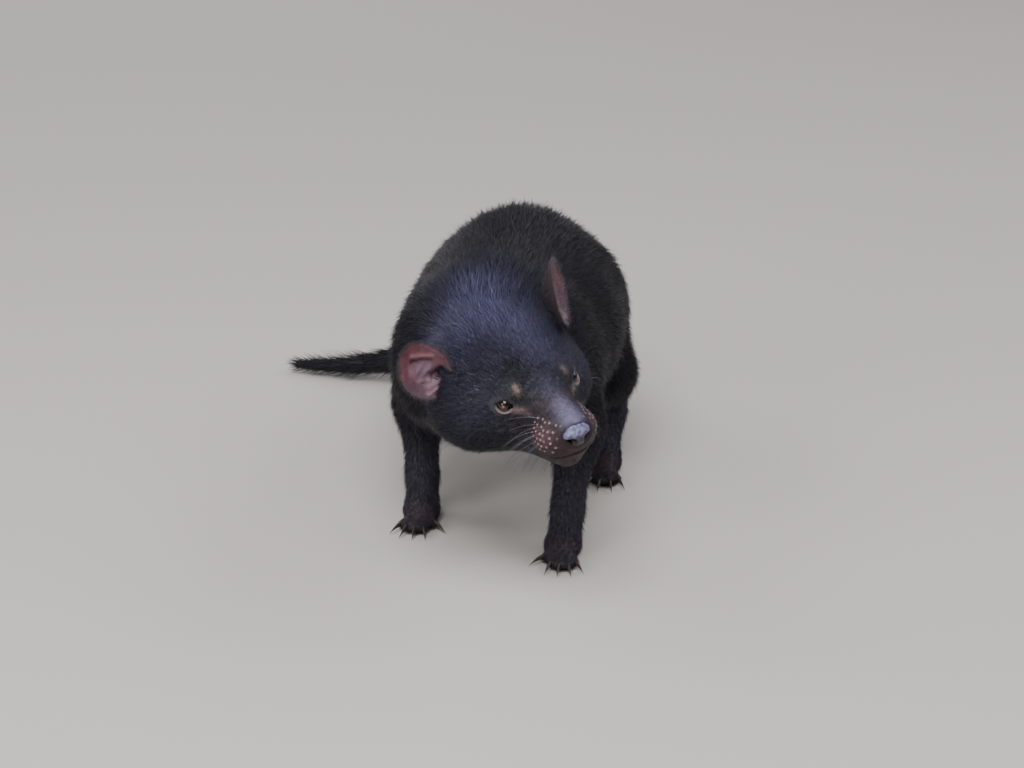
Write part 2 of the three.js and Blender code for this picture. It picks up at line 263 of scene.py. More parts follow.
def step(value, low, high):
    """0 below low, 1 above high, and a smooth rise between them."""
    t = np.clip((value - low) / (high - low), 0, 1)
    return t * t * (3 - 2 * t)


def relaxed(mesh, share, rounds):
    """Draws each vertex towards its neighbours by its share, round after round."""
    points = points_of(mesh)
    edges = values_of(mesh.edges, "vertices", 2, np.int32)
    a, b = edges.T
    count = np.bincount(edges.ravel(), minlength=len(points))[:, None]
    for _ in range(rounds):
        total = np.stack([
            np.bincount(a, points[b, i], len(points)) + np.bincount(b, points[a, i], len(points))
            for i in range(3)
        ], axis=1)
        points += share[:, None] * (total / np.maximum(count, 1) - points)
    set_points(mesh, points)


# The coat's plan: at each place, the way the hair lies, its length and how far it stands up.
# Places on the body are in mm in the body's frame. The last two numbers are mm of length and a share of lift.
BODY_COAT = [
    ((0, 0, 245), (0, 1, 0), 17, 0.42),
    ((0, 110, 252), (0, 1, -0.1), 17, 0.3),
    ((0, 210, 240), (0, 1, -0.5), 17, 0.3),
    ((0, 285, 185), (0, 0.6, -1), 16, 0.3),
    ((95, 60, 150), (0, 0.8, -0.7), 16, 0.28),
    ((-95, 60, 150), (0, 0.8, -0.7), 16, 0.28),
    ((100, 150, 150), (0, 0.8, -0.6), 16, 0.28),
    ((-100, 150, 150), (0, 0.8, -0.6), 16, 0.28),
    ((82, 235, 150), (0, 0.5, -0.9), 15, 0.28),
    ((-82, 235, 150), (0, 0.5, -0.9), 15, 0.28),
    ((72, 15, 160), (0, 0.4, -1), 15, 0.28),
    ((-72, 15, 160), (0, 0.4, -1), 15, 0.28),
    ((0, -45, 140), (0, 0.2, -1), 14, 0.3),
    ((0, 60, 85), (0, 1, -0.1), 14, 0.25),
    ((0, 170, 78), (0, 1, 0), 14, 0.25),
    ((-12, 304, 124), (-0.5, 0.4, -1), 14, 0.28),
    ((-58, 328, 66), (-1, 0.2, -0.7), 15, 0.3),
    ((-124, 338, 32), (-1, 0.1, -0.3), 16, 0.32),
    ((-188, 344, 16), (-1, 0.1, 0), 18, 0.36),
    ((-246, 352, 11), (-1, 0.15, 0.05), 14, 0.36),
]
# Each leg's elbow, wrist and toes.
LEG_PLACES = {
    "foreleg_left": ((73, 26, 104), (69, -10, 37), (67, -34, 8)),
    "foreleg_right": ((-73, 62, 104), (-69, 45, 37), (-68, 21, 8)),
    "hindleg_left": ((84, 166, 98), (85, 198, 44), (84, 146, 8)),
    "hindleg_right": ((-86, 236, 98), (-91, 280, 44), (-92, 228, 8)),
}
for elbow, wrist, toes in LEG_PLACES.values():
    BODY_COAT += [
        (elbow, (0, 0.25, -1), 11, 0.3),
        (wrist, (0, 0, -1), 7.5, 0.34),
        (toes, (0, -1, -0.4), 4, 0.3),
    ]

# On the head the hair always runs back from the nose, so a place needs only a length and a lift.
HEAD_COAT = [
    ((0, -60, -16), 1.0, 0.25),
    ((16, -44, -24), 1.5, 0.25),
    ((0, -38, 3), 1.7, 0.2),
    ((26, -14, -16), 3.6, 0.22),
    ((30, -6, 10), 2.4, 0.24),
    ((0, -14, 12), 4.2, 0.25),
    ((0, 20, 24), 8.5, 0.34),
    ((28, 34, 28), 9, 0.3),
    ((0, 62, 35), 14, 0.45),
    ((46, 20, -12), 8.5, 0.28),
    ((56, 54, -18), 12, 0.32),
    ((0, -36, -48), 2.4, 0.25),
    ((0, 22, -52), 8, 0.28),
    ((60, 58, 20), 6, 0.3),
    ((0, 100, 32), 18, 0.5),
    ((50, 100, 0), 15, 0.35),
]
HEAD_COAT += [((-x, y, z), length, lift) for (x, y, z), length, lift in HEAD_COAT if x > 0]
NOSE_TIP = np.array([0, -66, -14])
HEAD_MIDDLE = np.array([0, 30, -10])
# Over these mm the head's plan gives way to the body's: behind the eyes, and away from the head's middle.
NAPE = (70, 112)
HEAD_REACH = (95, 125)
PLAN_REACH = 16  # mm, how far one place of the plan blends into the next


def blended(points, places, values):
    """Values given at some places, blended to the points by nearness. Points and places are in mm."""
    total = np.zeros((len(points), values.shape[1]))
    weights = np.zeros(len(points))
    for place, value in zip(places, values):
        near = 1 / (((points - place) ** 2).sum(1) + PLAN_REACH ** 2) ** 2
        total += near[:, None] * value
        weights += near
    return total / weights[:, None]


def coat_at(points, normals):
    """The lie as unit vectors along the skin, the length in mm and the lift, for world points."""
    on_body = blended(body_mm(points), np.array([row[0] for row in BODY_COAT], float),
                      np.array([(*unit(np.array(row[1], float)), row[2], row[3]) for row in BODY_COAT]))
    local = head_mm(points)
    on_head = blended(local, np.array([row[0] for row in HEAD_COAT], float),
                      np.array([row[1:] for row in HEAD_COAT]))
    run_back = unit(local - NOSE_TIP) @ np.array(HEAD).T
    share = 1 - step(local[:, 1], *NAPE)
    share *= 1 - step(np.linalg.norm(local - HEAD_MIDDLE, axis=1), *HEAD_REACH)
    way = unit(on_body[:, :3]) * (1 - share[:, None]) + run_back * share[:, None]
    way -= normals * (way * normals).sum(1)[:, None]
    length = on_body[:, 3] * (1 - share) + on_head[:, 0] * share
    lift = on_body[:, 4] * (1 - share) + on_head[:, 1] * share
    return unit(way), length, lift


# Markings, shared by the skin and the coat, with painted sheen and shade among them: a place, its reach in
# mm, its colour and how strong it is.
COAT_BASE = "#131217"
HEAD_MARKS_AND_PAINTED_LIGHT = [
    # Painted sheen: the blue-grey over the crown and the nape, where the coat faces the light from above.
    ((12, 54, 38), 32, "#565574", 0.9),
    ((3, 104, 36), 40, "#5a597b", 0.95),
    ((44, 24, -4), 28, "#403f50", 0.9),
    ((17, -2, 16), 8, "#0e0d11", 0.7),
    # Painted sheen: the lavender-grey down the middle of the bridge of the muzzle, palest towards the nose.
    # Beside it the bridge is its own maroon-brown.
    ((0, -16, 11), 11, "#3a384d", 0.8),
    ((0, -29, 7), 8, "#4b465c", 0.85),
    ((12, -29, 2), 8, "#382a33", 0.9),
    ((0, -38, 2), 7.5, "#5f586e", 0.95),
    ((0, -46, -2), 9, "#6d6781", 1.0),
    ((0, -55, -7), 9, "#6d6884", 1.0),
    ((24, -42, -17), 12.5, "#593a40", 1.0),
    ((17, -50, -27), 8, "#452a2f", 0.9),
    ((10, -52, -32), 10, "#2a1219", 1.0),
    ((0, -56, -31), 13, "#271017", 1.0),
    ((0, -44, -48), 15, "#2e181d", 1.0),
    ((28.5, -11.5, -1.8), 2.9, "#7d6868", 0.9),
    ((26.2, -14.6, -2.2), 3.3, "#7d6868", 0.9),
    ((24, -17.8, -2.8), 3.0, "#765f60", 0.8),
    ((21.5, -21.5, -4), 3.0, "#5e484b", 0.6),
]
HEAD_MARKS_AND_PAINTED_LIGHT += [((-x, y, z), reach, code, power) for (x, y, z), reach, code, power in HEAD_MARKS_AND_PAINTED_LIGHT if x > 0]
# Painted light on one side only: the forehead is darkest over the right eye, as painted shade, and greyer
# beside it, as painted sheen, and the right shoulder is black, as painted shade.
HEAD_MARKS_AND_PAINTED_LIGHT += [((14, 18, 30), 20, "#4e4d67", 0.85), ((-17, 6, 25), 12, "#0a0a0d", 0.85),
               ((-25, 36, 33), 20, "#201f2a", 0.75), ((-20, 144, 24), 30, "#08080b", 0.9)]
# The tan tuft over each eye, clear over the right one and dim over the left.
for s, power in ((-1, 1.0), (1, 0.45)):
    HEAD_MARKS_AND_PAINTED_LIGHT += [
        ((s * 24.0, -11.4, 10.6), 2.3, "#6f5648", power * 0.8),
        ((s * 23.6, -10.0, 13.6), 2.6, "#7d6862", power),
        ((s * 23.2, -8.4, 17.2), 3.0, "#8f7c76", power),
        ((s * 22.6, -6.0, 21.2), 2.5, "#73625d", power * 0.9),
        ((s * 18.5, -8.6, 16), 2.6, "#0b090b", power * 0.8),
    ]
# The pale band across the chest runs back over the edge of each shoulder.
BODY_MARKS_AND_PAINTED_SHEEN = [
    ((x, -40 + 0.004 * x * x, 112 + 0.003 * x * x), 7, "#cfc9c4", 1.0) for x in range(-56, 57, 8)
]
for i in range(9):
    BODY_MARKS_AND_PAINTED_SHEEN.append(((-56 - 4.2 * i, -24 + 7.5 * i, 123 - 1.9 * i), 3.6, "#bdb6b2", 0.95 - 0.07 * i))
# The blue-grey over each lower leg is painted sheen. The toes are their own pinkish brown.
for elbow, wrist, toes in LEG_PLACES.values():
    BODY_MARKS_AND_PAINTED_SHEEN += [(wrist, 52, "#403e4d", 0.9), (toes, 15, "#3f2d31", 0.85)]


def markings_and_painted_light(points):
    """The coat's colour at world points, as linear RGB, with its painted sheen and shade."""
    colour = np.tile(rgb(COAT_BASE), (len(points), 1))
    for local, markings_and_light in ((head_mm(points), HEAD_MARKS_AND_PAINTED_LIGHT), (body_mm(points), BODY_MARKS_AND_PAINTED_SHEEN)):
        for place, reach, code, power in markings_and_light:
            near = power * np.exp(-(((local - place) / reach) ** 2).sum(1))[:, None]
            colour = colour * (1 - near) + near * rgb(code)
    return colour


# Skin.
VOXEL = 2.85 * MM
NOT_FLESH = ("claw", "eye", "ear_", "nose")
SOLIDS_GROWN = 0.4  # mm, which closes the gaps between them
# Over these mm the face ends behind the eyes and away from them, and the paws end above the floor.
FACE_BACK = (0, 60)
FACE_REACH = (70, 90)
PAW_HEIGHT = (12, 45)
SMOOTHING = 0.6  # share of the way to its neighbours that a round draws each vertex
SMOOTHING_SPARED = 0.5  # how much less that is on the face and the paws
SMOOTHING_ROUNDS = 17
FACE_LIMITS = (70, 38)  # mm from the muzzle's middle, inside which the skin is made finer, one by one
COAT_DEPTH = 0.85  # share of the coat's height that the skin lies inside the solids


def make_skin():
    """One skin from copies of the solids' flesh, drawn in by the depth of the coat."""
    names = [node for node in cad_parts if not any(word in node for word in NOT_FLESH)]
    shape = bmesh.new()
    for node in names:
        shape.from_mesh(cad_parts[node].data)
    bmesh.ops.remove_doubles(shape, verts=shape.verts, dist=0.01 * MM)
    skin = as_object(shape, "skin")
    applied(skin, "DISPLACE", strength=SOLIDS_GROWN * MM, mid_level=0)
    applied(skin, "REMESH", mode="VOXEL", voxel_size=VOXEL)
    local = head_mm(points_of(skin.data))
    face = 1 - step(local[:, 1], *FACE_BACK)
    face *= 1 - step(np.linalg.norm(local, axis=1), *FACE_REACH)
    paws = 1 - step(body_mm(points_of(skin.data))[:, 2], *PAW_HEIGHT)
    relaxed(skin.data, SMOOTHING - SMOOTHING_SPARED * np.maximum(face, paws), SMOOTHING_ROUNDS)
    for limit in FACE_LIMITS:
        refine_face(skin, limit)
    relaxed(skin.data, np.full(len(skin.data.vertices), SMOOTHING / 2), 3)
    points, normals = points_of(skin.data), normals_of(skin.data)
    _, length, lift = coat_at(points, normals)
    set_points(skin.data, points - normals * (length * lift * COAT_DEPTH * MM)[:, None])
    follicles = follicle_places(skin.data)
    sculpt_face(skin.data, follicles)
    taper_tail(skin.data)
    colour = markings_and_painted_light(points_of(skin.data))
    pale = FOLLICLE_PALE * near_follicles(skin.data, follicles, FOLLICLE_WIDTH / 2)[:, None]
    store_colour(skin.data, "skin_colour", colour * (1 - pale) + pale * rgb("#b9a3a2"))
    return skin, names, follicles


def refine_face(skin, limit):
    """Splits the faces that lie within limit mm of the middle of the muzzle."""
    shape = bmesh.new()
    shape.from_mesh(skin.data)
    middle = in_head(0, -26, -14)
    near = [edge for edge in shape.edges if all((v.co - middle).length < limit * MM for v in edge.verts)]
    bmesh.ops.subdivide_edges(shape, edges=near, cuts=1, use_grid_fill=True, smooth=0)
    bmesh.ops.triangulate(shape, faces=[face for face in shape.faces if len(face.verts) > 4])
    shape.to_mesh(skin.data)
    shape.free()


NOSE_PLACE = (0, -55.2, -17.4)
NOSE_SIZE = (13.2, 9.0, 11.4)
NOSE_SLOPE = 9.5  # mm that the pad's top lies back, so that it runs into the bridge
NOSE_RIM = 0.8  # mm that the skin rises round the pad, except above it
LIPS = [(40, 6, -33), (25, -14, -36), (22, -32, -37), (13, -48, -37), (0, -54, -36)]
MOUTH_DEPTH = 1.3
MOUTH_WIDTH = 0.8
LIP_HEIGHT = 0.7
LIP_FROM_MOUTH = 2.6
FOLLICLE_ROWS = 6
FOLLICLES_IN_ROW = 6
FIRST_FOLLICLE = (-53, -8.5)  # its place from front to back and its height
FOLLICLE_SPACING = (4.4, 4.1)  # mm along a row and from row to row
FOLLICLE_WIDTH = 2.2
FOLLICLE_HEIGHT = 0.5
FOLLICLE_PALE = 0.85  # how strongly its dome is lighter than the pad


def along(points, count):
    """Count places evenly spaced on a smooth line through the given points."""
    knots = np.array(points, float)
    t = np.linspace(0, len(knots) - 1, count)
    i = np.clip(t.astype(int), 0, len(knots) - 2)
    padded = np.vstack([2 * knots[0] - knots[1], knots, 2 * knots[-1] - knots[-2]])
    p0, p1, p2, p3 = (padded[i + k] for k in range(4))
    u = (t - i)[:, None]
    return 0.5 * (2 * p1 + (p2 - p0) * u + (2 * p0 - 5 * p1 + 4 * p2 - p3) * u ** 2
                  + (3 * p1 - p0 - 3 * p2 + p3) * u ** 3)


def tree_of(mesh):
    shape = bmesh.new()
    shape.from_mesh(mesh)
    tree = BVHTree.FromBMesh(shape)
    shape.free()
    return tree


def follicle_places(mesh):
    """Where the pads' whiskers root. Each has its side, its row from the top, its place in the row from the
    nose, and its point on the skin."""
    tree = tree_of(mesh)
    first_y, first_z = FIRST_FOLLICLE
    along_row, next_row = FOLLICLE_SPACING
    places = []
    for s in SIDES.values():
        for row in range(FOLLICLE_ROWS):
            for i in range(FOLLICLES_IN_ROW):
                y = first_y + along_row * (i + 0.5 * (row % 2)) + draw.uniform(-0.9, 0.9)
                z = first_z - next_row * row + 0.6 * i + draw.uniform(-0.8, 0.8)
                hit = tree.ray_cast(in_head(s * 60, y, z), head_way(-s, 0, 0))[0]
                if hit:
                    places.append((s, row, i, hit))
    return places


def near_follicles(mesh, follicles, reach):
    """1 on each whisker's root, falling off over the reach in mm, for every vertex."""
    points = points_of(mesh)
    near = np.zeros(len(points))
    for _, _, _, place in follicles:
        away = ((points - np.array(place)) ** 2).sum(1) / (reach * MM) ** 2
        near = np.maximum(near, np.exp(-away * away))
    return near


def sculpt_face(mesh, follicles):
    """Cuts the mouth's line, rounds the lips, raises a dome at each whisker's root and rings the nose pad."""
    points, normals = points_of(mesh), normals_of(mesh)
    local = head_mm(points)
    lips = along(LIPS + [(-x, y, z) for x, y, z in LIPS[-2::-1]], 120)
    near = np.flatnonzero((np.abs(local[:, 0]) < 50) & (local[:, 1] < 20) & (local[:, 2] < -20))
    apart = np.linalg.norm(local[near][:, None] - lips[None], axis=2)
    closest = apart.argmin(1)
    gap = apart.min(1)
    height = local[near][:, 2] - lips[closest][:, 2]
    move = np.zeros(len(points))
    move[near] -= MOUTH_DEPTH * np.exp(-(height / MOUTH_WIDTH) ** 2) * (gap < 6)
    move[near] += LIP_HEIGHT * np.exp(-((np.abs(height) - LIP_FROM_MOUTH) / 1.6) ** 2) * (gap < 8)
    move += FOLLICLE_HEIGHT * near_follicles(mesh, follicles, FOLLICLE_WIDTH / 2)
    across, rise = local[:, 0] / NOSE_SIZE[0], (local[:, 2] - NOSE_PLACE[2]) / NOSE_SIZE[2]
    rim = np.exp(-((np.hypot(across, rise) - 1.15) / 0.2) ** 2) * (local[:, 1] < -40)
    move += NOSE_RIM * rim * step(-rise, -1.4, -0.4)
    set_points(mesh, points + normals * move[:, None] * MM)


TAIL_END = (-238, 351, 8.5)
TAIL_TAPER = 0.42  # share of the way to its end that the tip is drawn in
TAPER_FROM = (165, 262)  # mm to the right, where the taper starts and where it is full
TAPER_SHARES = np.array([0.35, 1, 1])  # it narrows the tail more than it shortens it


def taper_tail(mesh):
    """Draws the tail's tip in to a point, which its longer hair then covers."""
    points = points_of(mesh)
    share = TAIL_TAPER * step(-body_mm(points)[:, 0], *TAPER_FROM)[:, None]
    end = np.array(STAND) + np.array(TAIL_END) * MM
    set_points(mesh, points + (end - points) * share * TAPER_SHARES)


def unwrap(piece):
    """Lays the piece's own surface out flat, for the bake."""
    bpy.ops.object.select_all(action="DESELECT")
    bpy.context.view_layer.objects.active = piece
    piece.select_set(True)
    piece.data.uv_layers.new(name="OFBake")
    bpy.ops.object.mode_set(mode="EDIT")
    bpy.ops.mesh.select_all(action="SELECT")
    bpy.ops.uv.smart_project(angle_limit=math.radians(66), island_margin=0.002)
    bpy.ops.object.mode_set(mode="OBJECT")


# Materials.
def grain(size):
    """The scale of a pattern whose patches are this many mm across."""
    return float(round(1 / (size * MM)))


def mottled(tree, shader, attribute, size, detail, spread):
    """Colours the surface by an attribute, lighter and darker in patches of a size in mm. It returns the
    coordinates, which a bump can follow."""
    colour = add_node(tree, "ShaderNodeAttribute", attribute_name=attribute)
    coords = add_node(tree, "ShaderNodeTexCoord").outputs["Object"]
    patches = add_node(tree, "ShaderNodeTexNoise", {"Vector": coords}, Scale=grain(size), Detail=detail)
    shade = add_node(tree, "ShaderNodeMapRange", {"Value": patches.outputs["Fac"]}, To_Min=1 - spread,
                     To_Max=1 + spread)
    tint = add_node(tree, "ShaderNodeVectorMath", {0: colour.outputs["Color"], 1: shade.outputs["Result"]},
                    operation="MULTIPLY")
    tree.links.new(tint.outputs["Vector"], shader.inputs["Base Color"])
    return coords


def coat_material():
    """Guard hair: smooth keratin, glossy along its length and blue-grey where it catches the light."""
    material, tree, shader = new_material("glossy guard hair")
    mottled(tree, shader, "coat_colour", 16.7, 3.0, 0.25)
    set_inputs(shader, Roughness=0.42, IOR=1.55, Specular_IOR_Level=0.32, Sheen_Weight=0.05)
    set_inputs(shader, Sheen_Tint=linear("#a09cd0"))
    return material


def skin_material():
    """Thinly haired skin: dull, mottled by the hair laid over it. Its pores are drawn coarser than real ones,
    so that they show."""
    material, tree, shader = new_material("thinly haired skin")
    coords = mottled(tree, shader, "skin_colour", 3.125, 5.0, 0.4)
    pores = add_node(tree, "ShaderNodeTexNoise", {"Vector": coords}, Scale=grain(0.7143), Detail=3.0)
    bump = add_node(tree, "ShaderNodeBump", {"Height": pores.outputs["Fac"]}, Strength=0.5, Distance=0.0004)
    tree.links.new(bump.outputs["Normal"], shader.inputs["Normal"])
    set_inputs(shader, Roughness=0.6)
    return material


def ear_material():
    """The ear's thin bare skin: blood shows through it in patches, and fine wrinkles catch the light."""
    material, tree, shader = new_material("thin ear skin")
    coords = mottled(tree, shader, "skin_colour", 5.56, 6.0, 0.5)
    wrinkles = add_node(tree, "ShaderNodeTexNoise", {"Vector": coords}, Scale=grain(1.667), Detail=4.0,
                        Distortion=1.5)
    bump = add_node(tree, "ShaderNodeBump", {"Height": wrinkles.outputs["Fac"]}, Strength=0.6,
                    Distance=0.0006)
    tree.links.new(bump.outputs["Normal"], shader.inputs["Normal"])
    set_inputs(shader, Roughness=0.5, Sheen_Weight=0.1)
    return material


def nose_material():
    """Bare wet nose skin: small cells and low lumps under a film of water. Its top carries a painted
    highlight, pale blue-grey broken into patches, and below it the pad is dark red-brown. The cells are drawn
    about twice as coarse as real ones, so that they show."""
    material, tree, shader = new_material("wet nose leather")
    coords = add_node(tree, "ShaderNodeTexCoord").outputs["Object"]
    cells = add_node(tree, "ShaderNodeTexVoronoi", {"Vector": coords}, Scale=grain(0.909))
    lumps = add_node(tree, "ShaderNodeTexNoise", {"Vector": coords}, Scale=grain(3.33), Detail=3.0)
    patch = add_node(tree, "ShaderNodeMapRange", {"Value": lumps.outputs["Fac"]}, From_Min=0.38,
                     From_Max=0.62)
    # Painted highlight: the pale blue-grey over the pad's top, broken into patches by the lumps.
    tone = add_node(tree, "ShaderNodeMix", {"Factor": patch.outputs["Result"]}, data_type="RGBA",
                    A=linear("#807ea6"), B=linear("#4f4e6b"))
    painted_highlight = add_node(tree, "ShaderNodeAttribute", attribute_name="painted_highlight")
    whole = add_node(tree, "ShaderNodeMix", {"Factor": painted_highlight.outputs["Fac"], "B": tone.outputs["Result"]},
                     data_type="RGBA", A=linear("#1c0a0d"))
    tree.links.new(whole.outputs["Result"], shader.inputs["Base Color"])
    wavy = add_node(tree, "ShaderNodeBump", {"Height": lumps.outputs["Fac"]}, Strength=0.6, Distance=0.0009)
    bump = add_node(tree, "ShaderNodeBump",
                    {"Height": cells.outputs["Distance"], "Normal": wavy.outputs["Normal"]},
                    Strength=0.7, Distance=0.0004, invert=True)
    tree.links.new(bump.outputs["Normal"], shader.inputs["Normal"])
    set_inputs(shader, Roughness=0.33, Coat_Weight=0.25, Coat_Roughness=0.2)
    return material


def eye_material():
    """A wet eye: a pupil with a painted reflection of the light, a dull red glow in its middle, a black-brown
    iris and a brown white.
    """
    material, tree, shader = new_material("wet eye")
    ring = add_node(tree, "ShaderNodeAttribute", attribute_name="from_pupil")
    ramp = add_node(tree, "ShaderNodeValToRGB", {"Fac": ring.outputs["Fac"]})
    # The first three stops are the painted reflection of the light from the back of the eye.
    stops = [(0.0, "#a65f5c"), (0.07, "#96504c"), (0.13, "#5f2a27"), (0.2, "#27100e"), (0.34, "#0f0706"),
             (0.6, "#090505"), (0.75, "#1c1210"), (1.0, "#2c1c1a")]
    for place, _ in stops[1:-1]:
        ramp.color_ramp.elements.new(place)
    for element, (place, code) in zip(ramp.color_ramp.elements, stops):
        element.position = place
        element.color = linear(code)
    tree.links.new(ramp.outputs["Color"], shader.inputs["Base Color"])
    set_inputs(shader, Roughness=0.05, IOR=1.38, Coat_Weight=0.5, Coat_Roughness=0.02)
    return material


def horn_material():
    """Claw horn: smooth, with paler streaks."""
    material, tree, shader = new_material("claw horn")
    coords = add_node(tree, "ShaderNodeTexCoord").outputs["Object"]
    streaks = add_node(tree, "ShaderNodeTexNoise", {"Vector": coords}, Scale=grain(2), Detail=4.0)
    tone = add_node(tree, "ShaderNodeMix", {"Factor": streaks.outputs["Fac"]}, data_type="RGBA",
                    A=linear("#1c1714"), B=linear("#4c4239"))
    tree.links.new(tone.outputs["Result"], shader.inputs["Base Color"])
    set_inputs(shader, Roughness=0.33, IOR=1.54)
    return material


# Eyes.
EYE_RADIUS = 8.6
CORNEA = 0.62  # radians from the middle of the pupil to its edge
CORNEA_RISE = 0.8


def eye_frame(s):
    """The eye's middle, and the ways that it looks, runs back to its outer corner and rises."""
    gaze = head_way(s * 0.66, -0.7, 0.2)
    outer = head_way(s * 0.7, 0.68, 0.1)
    outer = (outer - gaze * outer.dot(gaze)).normalized()
    rise = gaze.cross(outer) * s
    return centre(f"eye_{'left' if s > 0 else 'right'}"), gaze, outer, rise


def make_eye(name, s, material):
    shape = bmesh.new()
    bmesh.ops.create_uvsphere(shape, u_segments=48, v_segments=32, radius=1)
    middle, gaze, outer, rise = eye_frame(s)
    turn = Matrix((outer * s, rise, gaze)).transposed()
    angles = []
    for vert in shape.verts:
        angle = vert.co.angle(UP, 0)
        bulge = CORNEA_RISE * max(0, 1 - (angle / CORNEA) ** 2)
        vert.co = middle + turn @ vert.co * (EYE_RADIUS + bulge) * MM
        angles.append(angle)
    eye = as_object(shape, name)
    store_values(eye.data, "from_pupil", angles)
    give_surface(eye.data, material)
    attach(eye, "root")
    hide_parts(name)


# Nose. A nostril is a round hole that runs out to the side in a slit: places, widths and depths in mm.
NOSTRIL = [((6.8, -62, -22), 2.9, 5.6), ((9.6, -60, -21.5), 2.3, 4.2), ((12, -56.5, -20), 1.9, 2.8)]
NOSTRIL_WAY = (-0.35, 1, 0.15)  # into the left one: towards the middle, back and a little up
NOSE_GROOVE = (1.2, 0.8, -14)  # its depth, its half width and the height where it ends
NOSE_HIGHLIGHT_HEIGHTS = (-20.5, -14.5)  # the heights between which the pad turns from red-brown to the blue-grey of its painted highlight


def on_side(place, s):
    """A place or a way of the left side, mirrored for the right."""
    x, y, z = place
    return Vector((s * x, y, z))


def make_nose(material):
    """The bare pad, with its nostrils and the groove down its middle."""
    shape = bmesh.new()
    bmesh.ops.create_uvsphere(shape, u_segments=56, v_segments=40, radius=1)
    wide, deep, high = NOSE_SIZE
    groove_depth, groove_width, groove_top = NOSE_GROOVE
    painted_highlight = []
    for vert in shape.verts:
        x, y, z = vert.co
        back = NOSE_SLOPE * max(0, z + 0.1) ** 2
        place = Vector((x * wide, y * deep + back, z * high * (1 - 0.22 * x * x))) + Vector(NOSE_PLACE)
        inwards = Vector((0, 0, 0))
        for s in SIDES.values():
            for hole, width, depth in NOSTRIL:
                away = (place - on_side(hole, s)).length
                inwards += on_side(NOSTRIL_WAY, s) * depth * math.exp(-(away / width) ** 2)
        inwards.y += groove_depth * math.exp(-(place.x / groove_width) ** 2) * (place.z < groove_top)
        # How much of the painted highlight on the pad's top each point takes.
        painted_highlight.append(float(step(place.z, *NOSE_HIGHLIGHT_HEIGHTS)))
        vert.co = in_head(*(place + inwards))
    nose = as_object(shape, "nose")
    store_values(nose.data, "painted_highlight", painted_highlight)
    give_surface(nose.data, material)
    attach(nose, "root")
    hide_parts("nose_pad")


# Claws.
CLAW_ROOT = 2.1  # mm, its radius
CLAW_TIP = 0.12
CLAW_RINGS = 9
CLAW_ARCH = 1.1  # mm that its middle rises
CLAW_NARROW = 0.8  # its width as a share of its height


def make_claw(node, material):
    """A curved horn cone that takes the place of the solid's own claw."""
    points = points_of(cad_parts[node].data)
    middle = points.mean(0)
    _, _, axes = np.linalg.svd(points - middle, full_matrices=False)
    way = Vector(axes[0])
    if way.y > 0:
        way = -way
    along_way = (points - middle) @ np.array(way)
    root = Vector(middle) + way * along_way.min()
    length = along_way.max() - along_way.min()
    shape = bmesh.new()
    bmesh.ops.create_cone(shape, segments=16, radius1=CLAW_ROOT * MM, radius2=CLAW_TIP * MM, depth=length,
                          cap_ends=True)
    sides = [e for e in shape.edges if abs(e.verts[0].co.z - e.verts[1].co.z) > length / 2]
    bmesh.ops.subdivide_edges(shape, edges=sides, cuts=CLAW_RINGS)
    turn = way.to_track_quat("Z", "Y").to_matrix()
    for vert in shape.verts:
        t = vert.co.z / length + 0.5
        bow = math.sin(math.pi * t)
        swell = 1.05 - 0.25 * t + 0.35 * bow ** 2
        vert.co.x *= swell * CLAW_NARROW
        vert.co.y *= swell
        from_root = turn @ (vert.co + Vector((0, 0, length / 2)))
        vert.co = root + from_root + UP * (CLAW_ARCH * bow) * MM
    claw = as_object(shape, node + "_horn")
    give_surface(claw.data, material)
    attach(claw, "root")
    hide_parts(node)


# Ears, placed as the solids' are. The tone is how bright the flesh is: the left ear is the darker, as painted
# shade.
EARS = {
    "left": {"root": (63.5, 48, 31.5), "up": (-0.01, 0.2, 0.98), "open": (0.76, -0.6, 0.2), "tone": 0.65},
    "right": {"root": (-68, 51, 10.5), "up": (-0.3, 0.05, 0.9), "open": (-0.42, -0.85, 0.3), "tone": 1.0},
}
EAR_LENGTH = 58
EAR_WIDTH = 43
EAR_TAPER = 0.16
EAR_DEPTH = 12
EAR_THICKNESS = 3.0
EAR_SUNK = 11
EAR_FLESH = "#784550"
EAR_FLESH_LOW = "#5a3f4b"
EAR_RIM = "#574a50"
EAR_BACK = "#372b30"
# Folds inside the ear. Each runs between two places, given as shares of the half length towards the tip and
# of the half width towards the outer edge. Then come its half width as such a share, its height in mm and its
# colour. The colours follow the heights: the deep creases are painted shade, nearly black, and the raised
# folds are paler, partly their own skin and partly painted highlight.
EAR_FOLDS = [
    ((0.30, 0.30), (0.06, -0.40), 0.07, -2.2, "#2b1519"),
    ((0.48, 0.15), (0.22, -0.55), 0.10, 1.5, "#a0727a"),
    ((0.00, 0.38), (-0.12, -0.18), 0.20, 1.9, "#856a7b"),
    ((-0.42, -0.20), (-0.34, -0.62), 0.12, -3.8, "#2a1419"),
    ((-0.64, 0.20), (-0.58, -0.38), 0.10, 2.6, "#7a616b"),
    ((-0.34, 0.42), (-0.46, 0.05), 0.07, 1.3, "#82616c"),
    ((-0.80, 0.30), (-0.76, -0.20), 0.07, 1.8, "#8f6b76"),
    ((0.78, -0.42), (0.10, -0.86), 0.06, 1.6, "#6b555c"),
    ((0.66, 0.50), (0.05, 0.82), 0.10, 0.9, "#7a4a52"),
]


def ear_frame(name):
    """The ear's middle, the ways of its tip, its width and its opening, and the sign of the width towards its
    outer edge."""
    plan = EARS[name]
    rise = head_way(*plan["up"])
    opening = HEAD @ Vector(plan["open"])
    opening = (opening - rise * opening.dot(rise)).normalized()
    middle = in_head(*plan["root"]) + rise * (EAR_LENGTH / 2 - EAR_SUNK) * MM
    return middle, rise, opening.cross(rise), opening, -SIDES[name]


